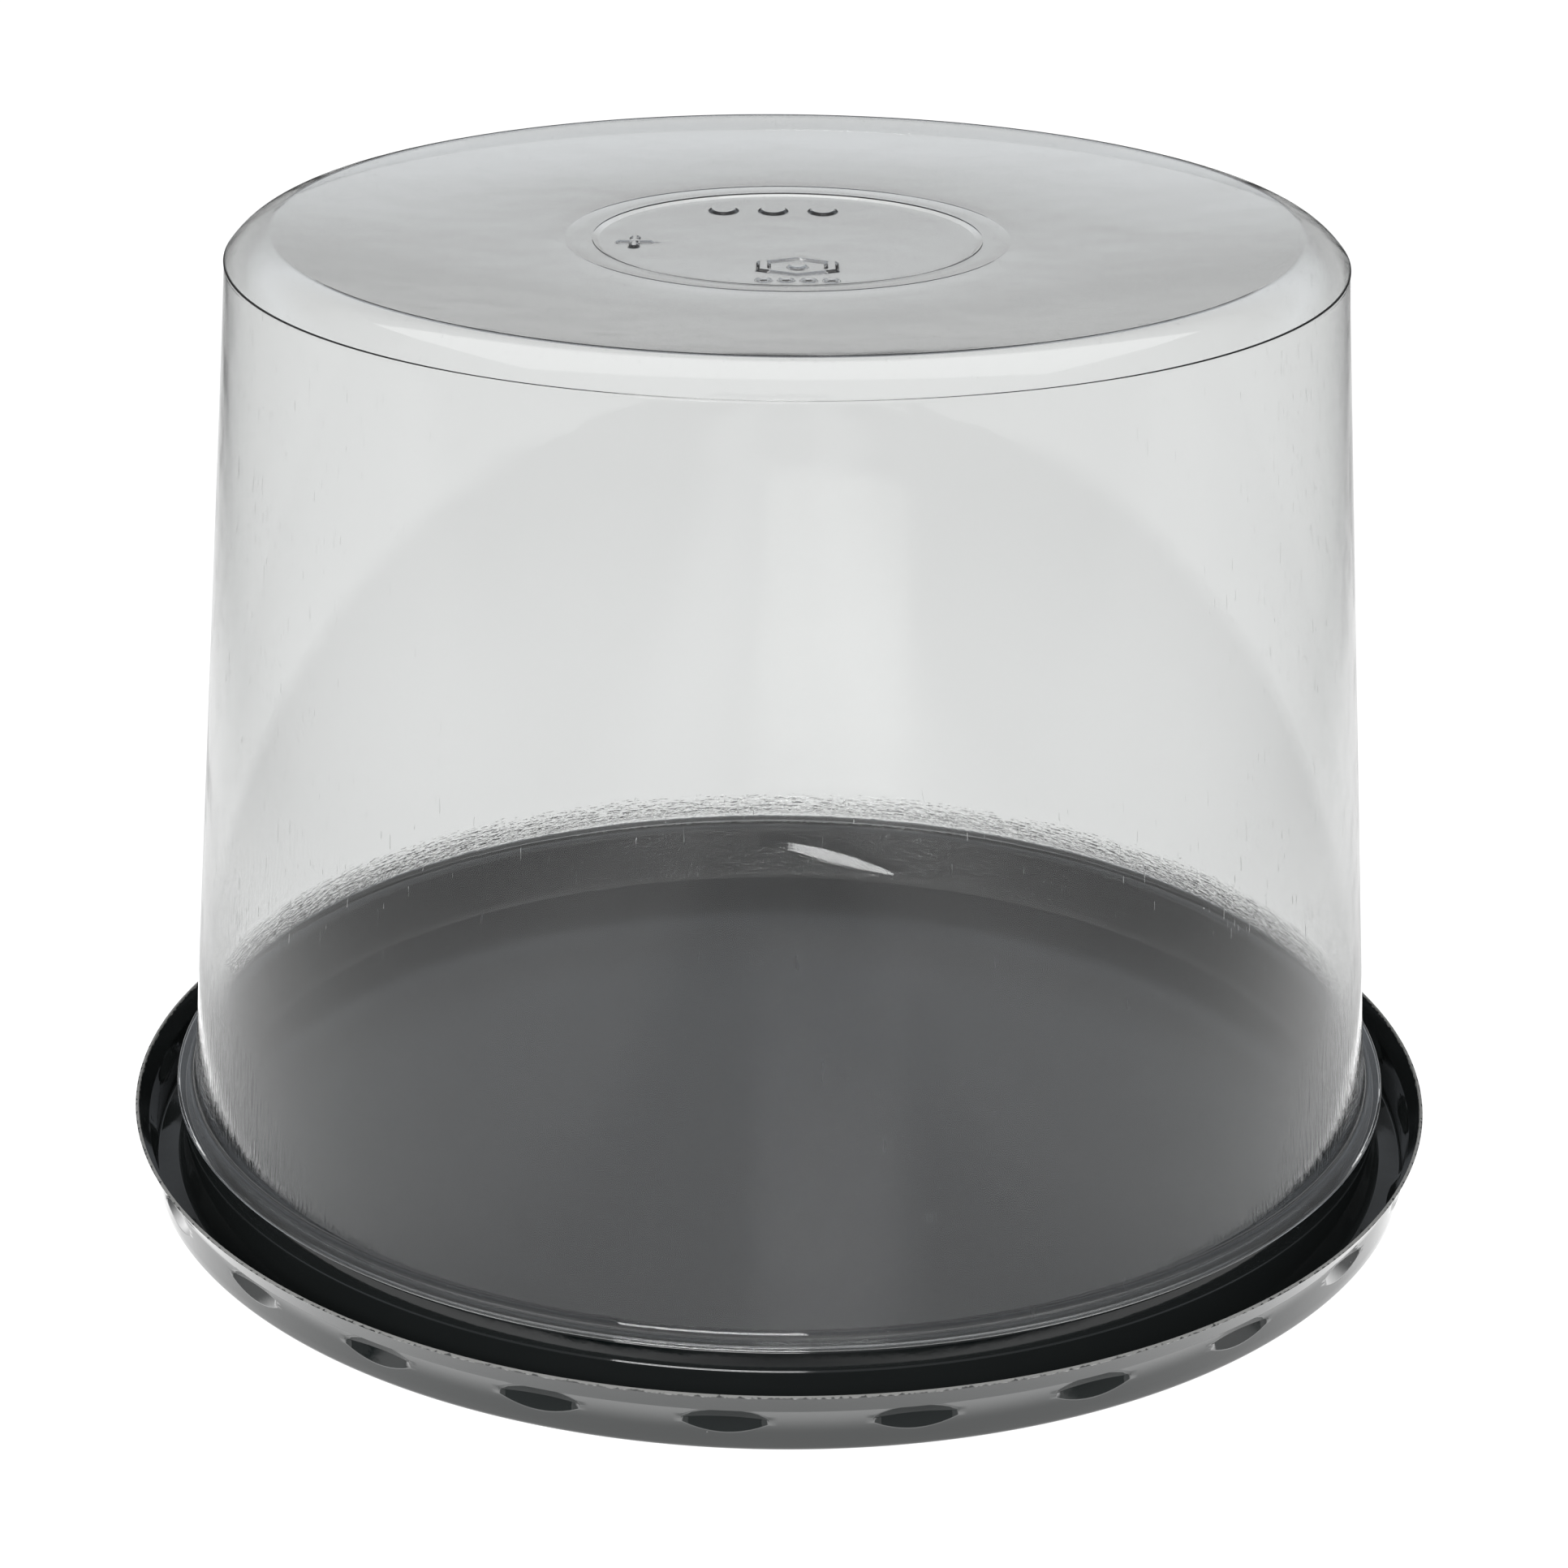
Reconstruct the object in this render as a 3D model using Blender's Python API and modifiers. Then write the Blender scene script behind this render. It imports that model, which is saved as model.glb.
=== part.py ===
"""Round humidity dome on a black tray: two thin thermoformed pieces.

Metres, +Z up. The origin is the centre of the tray, on the surface that it stands on.
Each piece is one sheet of plastic: the section of its visible face is turned about Z and
given the sheet's thickness on its hidden side.
"""

import math

import bmesh
import bpy
from mathutils import Matrix, Vector

MM = 0.001

# The tray has a lug every 15 degrees, and turned shapes have three facets to a lug.
LUGS = 24
SEGMENTS = 3 * LUGS
LUG_PHASE = math.radians(11)

# Tray: radii and heights of its upper face, in millimetres.
TRAY_SHEET = 0.6
LIP_RADIUS = 125.0
LIP_INNER_RADIUS = 123.75
LIP_HEIGHT = 12.3
CREASE_RADIUS = 122.6
CREASE_HEIGHT = 8.6
MOAT_OUTER_RADIUS = 121.5
MOAT_INNER_RADIUS = 116.4
MOAT_FILLET = 1.2
SEAT_OUTER_RADIUS = 115.3
SEAT_INNER_RADIUS = 112.5
SEAT_HEIGHT = 15.3
SEAT_FILLET = 0.7
FLOOR_RADIUS = 110.2
FLOOR_HEIGHT = 4.6
FLOOR_FILLET = 1.5

# Lugs: lens-shaped dents pressed into the tray's outer wall by discs with a V edge.
LUG_TIP_RADIUS = 121.9
LUG_TIP_HEIGHT = 6.75
LUG_DISC_RADIUS = 26.0
LUG_DISC_FACETS = 64
LUG_TOOL_REACH = 2.6
LUG_DEPTH_BELOW = 5.0
LUG_SLOPE_BELOW = 0.30
LUG_DEPTH_ABOVE = 2.6
LUG_SLOPE_ABOVE = 0.73
WALL_CORE_BOTTOM = 1.0
WALL_CORE_TOP = 11.0
WALL_CORE_INSET = 0.35

# Dome: radii and heights of its outer face, in millimetres.
DOME_SHEET = 0.5
SEAT_GAP = 0.3
FLANGE_RADIUS = 116.9
FLANGE_HEIGHT = SEAT_HEIGHT + SEAT_GAP + DOME_SHEET
FLANGE_RISE = 0.45
WALL_FOOT_RADIUS = 114.1
WALL_FOOT_FILLET = 1.0
MOULD_LINE_RADIUS = 100.55
MOULD_LINE_HEIGHT = 175.4
CROWN_RADIUS = 92.4
CROWN_HEIGHT = 180.6
SHOULDER_BULGE = 0.9
SHOULDER_POINTS = 4
DISH_RADIUS = 40.1
DISH_HEIGHT = 177.4
DISH_POWER = 2.2
DISH_POINTS = 5
RECESS_RADIUS = 34.0
RECESS_STEP = 0.9
RECESS_DEPTH = 0.45

BLACK = (0.012, 0.013, 0.013, 1.0)
CLEAR = (0.93, 0.94, 0.94, 1.0)


def clear_scene():
    """Removes the objects of the startup scene."""
    for obj in list(bpy.data.objects):
        bpy.data.objects.remove(obj, do_unlink=True)


def new_collection(name):
    """A collection linked to the scene."""
    collection = bpy.data.collections.new(name)
    bpy.context.scene.collection.children.link(collection)
    return collection


def plastic(name, colour, roughness, transmission):
    """A Principled material for thermoformed sheet."""
    material = bpy.data.materials.new(name)
    material.use_nodes = True
    shader = material.node_tree.nodes["Principled BSDF"]
    shader.inputs["Base Color"].default_value = colour
    shader.inputs["Metallic"].default_value = 0.0
    shader.inputs["Roughness"].default_value = roughness
    shader.inputs["Transmission Weight"].default_value = transmission
    return material


def fillet(before, corner, after, radius, steps):
    """Points of the arc that rounds one corner of a section."""
    to_before = (Vector(before) - Vector(corner)).normalized()
    to_after = (Vector(after) - Vector(corner)).normalized()
    half = to_before.angle(to_after) / 2
    centre = Vector(corner) + (to_before + to_after).normalized() * radius / math.sin(half)
    first = Vector(corner) + to_before * radius / math.tan(half) - centre
    sweep = math.pi - 2 * half
    turn = to_before.x * to_after.y - to_before.y * to_after.x
    sign = -1 if turn > 0 else 1
    return [
        centre + Matrix.Rotation(sign * sweep * step / steps, 2) @ first
        for step in range(steps + 1)
    ]


def rounded(corners, steps=2):
    """A section through (radius, height, fillet) corners."""
    section = []
    for i, (radius, height, bend) in enumerate(corners):
        if bend:
            section += fillet(corners[i - 1][:2], (radius, height), corners[i + 1][:2], bend, steps)
        else:
            section.append(Vector((radius, height)))
    return section


def turned(name, section, collection):
    """A surface made by turning a section, in millimetres, about Z."""
    mesh = bpy.data.meshes.new(name)
    points = [(radius * MM, 0.0, height * MM) for radius, height in section]
    mesh.from_pydata(points, [(i, i + 1) for i in range(len(points) - 1)], [])
    obj = bpy.data.objects.new(name, mesh)
    collection.objects.link(obj)
    screw = obj.modifiers.new("turn", "SCREW")
    screw.steps = screw.render_steps = SEGMENTS
    screw.use_merge_vertices = True
    screw.merge_threshold = 0.00001
    return obj


def give_sheet(obj, thickness, material):
    """Gives a turned surface the sheet's thickness, on its hidden side."""
    sheet = obj.modifiers.new("sheet", "SOLIDIFY")
    sheet.thickness = thickness * MM
    sheet.offset = -1
    sheet.use_even_offset = True
    obj.data.materials.append(material)


def combine(obj, operation, other):
    """Joins or cuts an object with another one."""
    boolean = obj.modifiers.new(operation.lower(), "BOOLEAN")
    boolean.operation = operation
    boolean.solver = "EXACT"
    boolean.object = other


def hide(obj):
    """Marks an object as a cutter."""
    obj.hide_render = True
    obj.display_type = "WIRE"


def lug_tool(grow):
    """The working edge of one V-edged disc, this much larger than the dent, with its tip at the origin."""
    tip = LUG_DISC_RADIUS + grow
    shape = bmesh.new()
    bmesh.ops.create_cone(
        shape,
        cap_ends=True,
        segments=LUG_DISC_FACETS,
        radius1=(tip - LUG_DEPTH_BELOW * LUG_SLOPE_BELOW) * MM,
        radius2=tip * MM,
        depth=LUG_DEPTH_BELOW * MM,
        matrix=Matrix.Translation((LUG_DISC_RADIUS * MM, 0, -LUG_DEPTH_BELOW / 2 * MM)),
    )
    cap = max(shape.faces, key=lambda face: face.calc_center_median().z)
    raised = bmesh.ops.extrude_discrete_faces(shape, faces=[cap])["faces"][0].verts
    shrink = 1 - LUG_DEPTH_ABOVE * LUG_SLOPE_ABOVE / tip
    about_disc = Matrix.Translation((-LUG_DISC_RADIUS * MM, 0, 0))
    bmesh.ops.scale(shape, verts=raised, vec=(shrink, shrink, 1), space=about_disc)
    bmesh.ops.translate(shape, verts=raised, vec=(0, 0, LUG_DEPTH_ABOVE * MM))
    cut = bmesh.ops.bisect_plane(
        shape,
        geom=shape.verts[:] + shape.edges[:] + shape.faces[:],
        plane_co=(LUG_TOOL_REACH * MM, 0, 0),
        plane_no=(1, 0, 0),
        clear_outer=True,
    )["geom_cut"]
    rim = [item for item in cut if isinstance(item, bmesh.types.BMEdge)]
    bmesh.ops.holes_fill(shape, edges=rim)
    bmesh.ops.recalc_face_normals(shape, faces=shape.faces)
    mesh = bpy.data.meshes.new("lug_tool")
    shape.to_mesh(mesh)
    shape.free()
    return mesh


def lug_tools(name, grow, collection):
    """The tools of all the lugs, as one mesh."""
    tool = lug_tool(grow)
    shape = bmesh.new()
    for lug in range(LUGS):
        turn = Matrix.Rotation(LUG_PHASE + math.tau * lug / LUGS, 4, "Z")
        one = tool.copy()
        one.transform(turn @ Matrix.Translation((LUG_TIP_RADIUS * MM, 0, LUG_TIP_HEIGHT * MM)))
        shape.from_mesh(one)
        bpy.data.meshes.remove(one)
    bpy.data.meshes.remove(tool)
    mesh = bpy.data.meshes.new(name)
    shape.to_mesh(mesh)
    shape.free()
    obj = bpy.data.objects.new(name, mesh)
    collection.objects.link(obj)
    hide(obj)
    return obj


def make_wall_core(collection):
    """The space up to the middle of the outer wall's sheet, which the lugs' inner faces stand in."""
    lip_run = (LIP_INNER_RADIUS - CREASE_RADIUS) / (LIP_HEIGHT - CREASE_HEIGHT)
    wall_run = (CREASE_RADIUS - MOAT_OUTER_RADIUS) / (CREASE_HEIGHT - TRAY_SHEET)
    top = CREASE_RADIUS + WALL_CORE_INSET + lip_run * (WALL_CORE_TOP - CREASE_HEIGHT)
    crease = CREASE_RADIUS + WALL_CORE_INSET
    bottom = crease - wall_run * (CREASE_HEIGHT - WALL_CORE_BOTTOM)
    core = turned(
        "wall_core",
        [
            (0, WALL_CORE_TOP),
            (top, WALL_CORE_TOP),
            (crease, CREASE_HEIGHT),
            (bottom, WALL_CORE_BOTTOM),
            (0, WALL_CORE_BOTTOM),
        ],
        collection,
    )
    hide(core)
    return core


def make_tray(collection, cutters):
    """Tray: a sunk floor, the raised seat ring, the moat round it and the lugged outer wall."""
    section = rounded(
        [
            (0, FLOOR_HEIGHT, 0),
            (FLOOR_RADIUS, FLOOR_HEIGHT, FLOOR_FILLET),
            (SEAT_INNER_RADIUS, SEAT_HEIGHT, SEAT_FILLET),
            (SEAT_OUTER_RADIUS, SEAT_HEIGHT, SEAT_FILLET),
            (MOAT_INNER_RADIUS, TRAY_SHEET, MOAT_FILLET),
            (MOAT_OUTER_RADIUS, TRAY_SHEET, 0),
            (CREASE_RADIUS, CREASE_HEIGHT, 0),
            (LIP_INNER_RADIUS, LIP_HEIGHT, 0),
            (LIP_RADIUS, LIP_HEIGHT, 0),
        ]
    )
    tray = turned("tray", section, collection)
    give_sheet(tray, TRAY_SHEET, plastic("black_sheet", BLACK, 0.12, 0.0))
    ridges = lug_tools("lug_ridges", TRAY_SHEET, cutters)
    combine(ridges, "INTERSECT", make_wall_core(cutters))
    combine(tray, "UNION", ridges)
    combine(tray, "DIFFERENCE", lug_tools("lug_dents", 0, cutters))
    return tray


def shoulder():
    """The dome's shoulder: a shallow arc from the crown down to the mould line."""
    start = Vector((CROWN_RADIUS, CROWN_HEIGHT))
    end = Vector((MOULD_LINE_RADIUS, MOULD_LINE_HEIGHT))
    outwards = Vector((start.y - end.y, end.x - start.x)).normalized()
    points = []
    for step in range(SHOULDER_POINTS + 1):
        along = step / SHOULDER_POINTS
        bulge = SHOULDER_BULGE * 4 * along * (1 - along)
        points.append(start.lerp(end, along) + outwards * bulge)
    return points


def dish():
    """The sagging top, from the rim of the recess out to the crown."""
    points = []
    for step in range(DISH_POINTS):
        along = step / DISH_POINTS
        radius = DISH_RADIUS + (CROWN_RADIUS - DISH_RADIUS) * along
        rise = (CROWN_HEIGHT - DISH_HEIGHT) * along**DISH_POWER
        points.append((radius, DISH_HEIGHT + rise))
    return points


def make_dome(collection):
    """Dome: a dished top with a round recess, the drafted wall and the flange that rests on the tray."""
    foot = rounded(
        [
            (MOULD_LINE_RADIUS, MOULD_LINE_HEIGHT, 0),
            (WALL_FOOT_RADIUS, FLANGE_HEIGHT + FLANGE_RISE, WALL_FOOT_FILLET),
            (FLANGE_RADIUS, FLANGE_HEIGHT, 0),
        ]
    )
    section = [
        (0, DISH_HEIGHT - RECESS_DEPTH),
        (RECESS_RADIUS, DISH_HEIGHT - RECESS_DEPTH),
        (RECESS_RADIUS + RECESS_STEP, DISH_HEIGHT),
    ]
    dome = turned("dome", section + dish() + shoulder() + foot[1:], collection)
    give_sheet(dome, DOME_SHEET, plastic("clear_sheet", CLEAR, 0.04, 1.0))
    return dome


def shade(obj):
    """Smooth shading with the creases kept sharp."""
    obj.data.shade_smooth()
    obj.data.set_sharp_from_angle(angle=math.radians(30))


def main():
    """Builds the tray and the dome on it."""
    clear_scene()
    parts = new_collection("humidity_dome_tray")
    cutters = new_collection("cutters")
    cutters.hide_render = True
    for obj in (make_tray(parts, cutters), make_dome(parts)):
        shade(obj)


main()
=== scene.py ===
"""Looks of a clear lift-off dome on a shallow black tray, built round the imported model.

Metres, +Z up. The origin is the centre of the tray, on the surface that it stands on. Sections are
written in millimetres, as (radius, height) corners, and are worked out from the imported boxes.
"""

from __future__ import annotations

import logging
import math
from dataclasses import dataclass
from enum import Enum
from typing import Callable, NamedTuple

import bmesh
import bpy
from mathutils import Matrix, Vector, noise

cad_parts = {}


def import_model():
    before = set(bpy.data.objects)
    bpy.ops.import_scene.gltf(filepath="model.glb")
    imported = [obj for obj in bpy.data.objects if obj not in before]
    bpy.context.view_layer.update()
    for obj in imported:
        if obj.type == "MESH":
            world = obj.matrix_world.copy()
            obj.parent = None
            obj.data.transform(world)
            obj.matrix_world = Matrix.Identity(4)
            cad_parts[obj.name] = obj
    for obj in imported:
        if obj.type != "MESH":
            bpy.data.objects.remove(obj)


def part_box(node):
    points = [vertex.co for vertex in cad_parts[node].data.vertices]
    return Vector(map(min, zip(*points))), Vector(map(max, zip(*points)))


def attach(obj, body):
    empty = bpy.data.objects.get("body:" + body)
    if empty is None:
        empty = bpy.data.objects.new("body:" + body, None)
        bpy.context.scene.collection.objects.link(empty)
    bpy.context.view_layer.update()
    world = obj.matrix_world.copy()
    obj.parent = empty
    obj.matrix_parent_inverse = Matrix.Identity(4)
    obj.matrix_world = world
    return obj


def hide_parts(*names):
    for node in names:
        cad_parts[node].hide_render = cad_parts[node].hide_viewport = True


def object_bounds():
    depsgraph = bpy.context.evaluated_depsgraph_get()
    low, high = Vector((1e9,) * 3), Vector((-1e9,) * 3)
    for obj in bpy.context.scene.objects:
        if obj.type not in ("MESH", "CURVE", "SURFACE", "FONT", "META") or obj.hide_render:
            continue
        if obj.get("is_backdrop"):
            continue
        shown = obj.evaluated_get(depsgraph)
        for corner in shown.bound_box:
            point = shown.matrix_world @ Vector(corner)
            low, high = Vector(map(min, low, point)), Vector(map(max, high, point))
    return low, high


MM = 0.001
WELD = 1e-6
LEAST_BEND = 0.15
SECTORS = 24
SECTOR_COPIES = (3, 2, 2, 2)
LOG = logging.getLogger("dome_tray")

Material = bpy.types.Material
Object = bpy.types.Object
Shape = bmesh.types.BMesh
Socket = bpy.types.NodeSocket
Triple = tuple[float, float, float]


class Corner(NamedTuple):
    """A corner of a section, in millimetres.

    Args:
        radius: Distance from the axis.
        height: Height above the surface that the tray stands on.
        bend: Radius of the fillet at the corner, or 0 for a sharp one.
        steps: Facets in the fillet.
    """

    radius: float
    height: float
    bend: float = 0.0
    steps: int = 4

    @property
    def point(self) -> Vector:
        """The corner as a flat point."""
        return Vector((self.radius, self.height))


class Fade(NamedTuple):
    """A value that changes along a line and stays the same past both ends.

    Args:
        start: Where the change begins.
        end: Where it ends.
        first: The value up to the start.
        last: The value from the end on.
    """

    start: float
    end: float
    first: float
    last: float


def fillet(before: Vector, corner: Corner, after: Vector) -> list[Vector]:
    """Rounds one corner of a section.

    Args:
        before: The point before the corner.
        corner: The corner, with its bend.
        after: The point after it.

    Returns:
        The points of the arc, from the run before to the run after.
    """
    here = corner.point
    to_before = (before - here).normalized()
    to_after = (after - here).normalized()
    half = to_before.angle(to_after) / 2
    reach = corner.bend / math.tan(half)
    room = 0.49 * min((before - here).length, (after - here).length)
    bend = corner.bend * min(1.0, room / reach)
    centre = here + (to_before + to_after).normalized() * bend / math.sin(half)
    first = here + to_before * bend / math.tan(half) - centre
    turn = to_before.x * to_after.y - to_before.y * to_after.x
    sweep = math.copysign(math.pi - 2 * half, -turn)
    return [
        centre + Matrix.Rotation(sweep * step / corner.steps, 2) @ first
        for step in range(corner.steps + 1)
    ]


def rounded(corners: list[Corner]) -> list[Vector]:
    """Turns corners into a section with its fillets.

    Args:
        corners: The corners, in order.

    Returns:
        The section's points, in millimetres.
    """
    section: list[Vector] = []
    for before, corner, after in zip([None, *corners], corners, [*corners[1:], None]):
        if before and after and corner.bend:
            section += fillet(before.point, corner, after.point)
        else:
            section.append(corner.point)
    return section


def second_skin(corners: list[Corner], sheet: float) -> list[Corner]:
    """Moves a section by the sheet's thickness, to its right as it is walked from the axis outwards.

    Args:
        corners: The first skin's corners.
        sheet: Thickness in millimetres.

    Returns:
        The second skin's corners, with their bends grown or shrunk to match.
    """
    moved = []
    last = len(corners) - 1
    for i, corner in enumerate(corners):
        runs = []
        if i:
            runs.append((corner.point - corners[i - 1].point).normalized())
        if i < last:
            runs.append((corners[i + 1].point - corner.point).normalized())
        normals = [Vector((run.y, -run.x)) for run in runs]
        middle = sum(normals, Vector((0, 0))).normalized()
        place = corner.point + middle * sheet / middle.dot(normals[0])
        bend = corner.bend
        if len(runs) == 2 and bend:
            turn = runs[0].x * runs[1].y - runs[0].y * runs[1].x
            bend = max(bend + math.copysign(sheet, turn), LEAST_BEND)
        moved.append(Corner(place.x if corner.radius else 0.0, place.y, bend, corner.steps))
    return moved


def spaced(section: list[Vector], step: float) -> list[Vector]:
    """Adds points so that no run of a section is longer than a step.

    Args:
        section: Points in millimetres.
        step: The longest run allowed.

    Returns:
        The section with the added points.
    """
    points = [section[0]]
    for start, end in zip(section, section[1:]):
        count = max(1, math.ceil((end - start).length / step))
        points += [start.lerp(end, i / count) for i in range(1, count + 1)]
    return points


def smooth_step(low: float, high: float, value: float) -> float:
    """Rises smoothly from 0 at low to 1 at high."""
    share = min(max((value - low) / (high - low), 0.0), 1.0)
    return share * share * (3 - 2 * share)


def turned(section: list[Vector], turns: int, start: float = 0.0) -> Shape:
    """Spins a closed section, which begins and ends on the axis, through one sector.

    Args:
        section: Points in millimetres.
        turns: Facets in the sector.
        start: Angle of the sector's first edge.

    Returns:
        The sector's skin, which repeated() turns into the whole solid.
    """
    shape = bmesh.new()
    rail = [shape.verts.new((point.x * MM, 0.0, point.y * MM)) for point in section]
    for one, other in zip(rail, rail[1:]):
        shape.edges.new((one, other))
    bmesh.ops.rotate(shape, verts=rail, cent=(0, 0, 0), matrix=Matrix.Rotation(start, 3, "Z"))
    bmesh.ops.spin(
        shape,
        geom=shape.verts[:] + shape.edges[:],
        cent=(0, 0, 0),
        axis=(0, 0, 1),
        dvec=(0, 0, 0),
        angle=math.tau / SECTORS,
        steps=turns,
        use_merge=False,
        use_normal_flip=False,
        use_duplicate=False,
    )
    return shape


def repeated(shape: Shape) -> None:
    """Repeats a sector round the axis and welds the copies into one solid, its faces pointing out.

    Args:
        shape: The sector, which becomes the solid.
    """
    made = 1
    for copies in SECTOR_COPIES:
        whole = shape.verts[:] + shape.edges[:] + shape.faces[:]
        for copy in range(1, copies):
            twin = bmesh.ops.duplicate(shape, geom=whole)["geom"]
            verts = [item for item in twin if isinstance(item, bmesh.types.BMVert)]
            turn = Matrix.Rotation(math.tau / SECTORS * made * copy, 3, "Z")
            bmesh.ops.rotate(shape, verts=verts, cent=(0, 0, 0), matrix=turn)
        made *= copies
    bmesh.ops.remove_doubles(shape, verts=shape.verts, dist=WELD)
    bmesh.ops.recalc_face_normals(shape, faces=shape.faces)


def moved_round(shape: Shape, move: Callable[[float, float, float], tuple[float, float]]) -> None:
    """Moves the vertices of a turned shape along their radius and in height.

    Args:
        shape: The turned shape.
        move: Gives the new radius and height from the angle, radius and height, in millimetres.
    """
    for vert in shape.verts:
        radius = math.hypot(vert.co.x, vert.co.y)
        if radius < WELD:
            continue
        angle = math.atan2(vert.co.y, vert.co.x)
        new_radius, new_height = move(angle, radius / MM, vert.co.z / MM)
        vert.co.x *= new_radius * MM / radius
        vert.co.y *= new_radius * MM / radius
        vert.co.z = new_height * MM


def long_edges(faces: list[bmesh.types.BMFace], length: float) -> list[bmesh.types.BMEdge]:
    """The faces' edges that are longer than a length in millimetres, each once and in order."""
    edges = dict.fromkeys(edge for face in faces for edge in face.edges)
    return [edge for edge in edges if edge.calc_length() > length * MM]


# ------------------------------------------------------------------ finishes


class Palette:
    """Lays nodes out in the tree of a new material or world and links them."""

    def __init__(self, owner: Material | bpy.types.World, shader: str) -> None:
        """Starts with the output and the shader, given by name, that a new tree has."""
        owner.use_nodes = True
        self.owner = owner
        self.tree = owner.node_tree
        self.shader = self.tree.nodes[shader]

    @classmethod
    def of_material(cls, name: str) -> Palette:
        """Starts a material of this name."""
        return cls(bpy.data.materials.new(name), "Principled BSDF")

    def node(self, kind: str, **values: object) -> bpy.types.Node:
        """Adds a node.

        Args:
            kind: The node's type without the ShaderNode prefix.
            values: Properties, or inputs by name with spaces as underscores, which may be sockets.

        Returns:
            The node.
        """
        node = self.tree.nodes.new("ShaderNode" + kind)
        for key, value in values.items():
            if hasattr(node, key):
                setattr(node, key, value)
            else:
                self.feed(node, key.replace("_", " "), value)
        return node

    def feed(self, node: bpy.types.Node, key: str | int, value: object) -> None:
        """Links a socket to a node's input, or sets the input.

        Args:
            node: The node.
            key: The input's name or number.
            value: A socket or a value.
        """
        if isinstance(value, Socket):
            self.tree.links.new(value, node.inputs[key])
        else:
            node.inputs[key].default_value = value

    def maths(self, operation: str, *terms: object) -> Socket:
        """Adds a Math node.

        Args:
            operation: The Math node's operation.
            terms: Its inputs, sockets or numbers.

        Returns:
            Its output.
        """
        node = self.node("Math", operation=operation)
        for i, term in enumerate(terms):
            self.feed(node, i, term)
        return node.outputs[0]

    def dressed(self, **inputs: object) -> Material | bpy.types.World:
        """Feeds the shader's inputs, named with underscores for spaces, and gives the owner back."""
        for key, value in inputs.items():
            self.feed(self.shader, key.replace("_", " "), value)
        return self.owner

    def times(self, one: object, other: object) -> Socket:
        """The product of two sockets or numbers."""
        return self.maths("MULTIPLY", one, other)

    def fade(self, value: object, fade: Fade, unit: float = 1.0, curve: str = "SMOOTHSTEP") -> Socket:
        """Maps a value along a fade whose start and end are counted in a unit."""
        node = self.node("MapRange", interpolation_type=curve)
        terms = (value, fade.start * unit, fade.end * unit, fade.first, fade.last)
        for i, term in enumerate(terms):
            self.feed(node, i, term)
        return node.outputs[0]

    def ramp(self, value: object, low: float, high: float, out: tuple[float, float] = (0.0, 1.0)) -> Socket:
        """Maps a value smoothly from the range between low and high to the values in out."""
        return self.fade(value, Fade(low, high, *out))

    def mixed(self, share: object, one: object, other: object) -> Socket:
        """Mixes two colours with alpha, share being the second one's."""
        node = self.node("Mix", data_type="RGBA", Factor=share)
        self.feed(node, 6, one)
        self.feed(node, 7, other)
        return node.outputs[2]

    def place(self, stretch: Triple = (1, 1, 1), turn: float = 0.0) -> Socket:
        """Object coordinates, stretched and turned about Z.

        Args:
            stretch: Scale of each axis.
            turn: Angle about Z.

        Returns:
            The coordinates.
        """
        coordinates = self.node("TexCoord").outputs["Object"]
        mapping = self.node("Mapping", Vector=coordinates, Scale=stretch, Rotation=(0, 0, turn))
        return mapping.outputs["Vector"]

    def round_place(self) -> tuple[Socket, Socket, Socket]:
        """Angle about Z, distance from the axis and height of the point shaded.

        Returns:
            The three sockets.
        """
        split = self.node("SeparateXYZ", Vector=self.node("TexCoord").outputs["Object"])
        across, along, height = split.outputs
        angle = self.maths("ARCTAN2", along, across)
        square = self.maths("MULTIPLY_ADD", across, across, self.times(along, along))
        return angle, self.maths("SQRT", square), height

    def noise(self, scale: float, detail: float = 2.0, at: Socket | None = None) -> Socket:
        """Noise between 0 and 1.

        Args:
            scale: Waves to the metre, roughly.
            detail: Octaves.
            at: Coordinates, or none for Object coordinates.

        Returns:
            The noise's value.
        """
        vector = at or self.place()
        return self.node("TexNoise", Vector=vector, Scale=scale, Detail=detail).outputs["Fac"]

    def round_noise(self, angle: object, height: object, around: float, up: float) -> Socket:
        """Noise wrapped round the axis, the same at every distance from it.

        Args:
            angle: The angle socket.
            height: The height socket.
            around: Waves to the radian.
            up: Waves to the metre of height.

        Returns:
            The noise's value.
        """
        turn = self.times(angle, around)
        rise = self.times(height, up)
        return self.noise(1.0, 2.0, self.node("CombineXYZ", X=turn, Y=rise).outputs[0])

    def specks(self, scale: float, size: float, share: float) -> Socket:
        """Sparse round specks.

        Args:
            scale: Cells to the metre.
            size: A speck's radius, as a share of its cell.
            share: Share of the cells that hold one.

        Returns:
            1 on a speck and 0 elsewhere.
        """
        cells = self.node("TexVoronoi", Vector=self.place(), Scale=scale, Randomness=1.0)
        dot = self.ramp(cells.outputs["Distance"], size * 0.6, size, (1.0, 0.0))
        pick = self.node("SeparateColor", Color=cells.outputs["Color"]).outputs[0]
        return self.times(dot, self.maths("LESS_THAN", pick, share))

    def scratches(self, scale: float, stretch: Triple, turn: float, share: float) -> Socket:
        """Fine short streaks, all in one direction.

        Args:
            scale: Waves to the metre across the streaks.
            stretch: Scale of each axis, small along the streaks.
            turn: Direction of the streaks about Z.
            share: How much of the surface they take, from 0 to 1.

        Returns:
            1 on a streak and 0 elsewhere.
        """
        waves = self.noise(scale, 0.0, self.place(stretch, turn))
        return self.ramp(waves, 0.84 - share, 0.88 - share)

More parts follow.
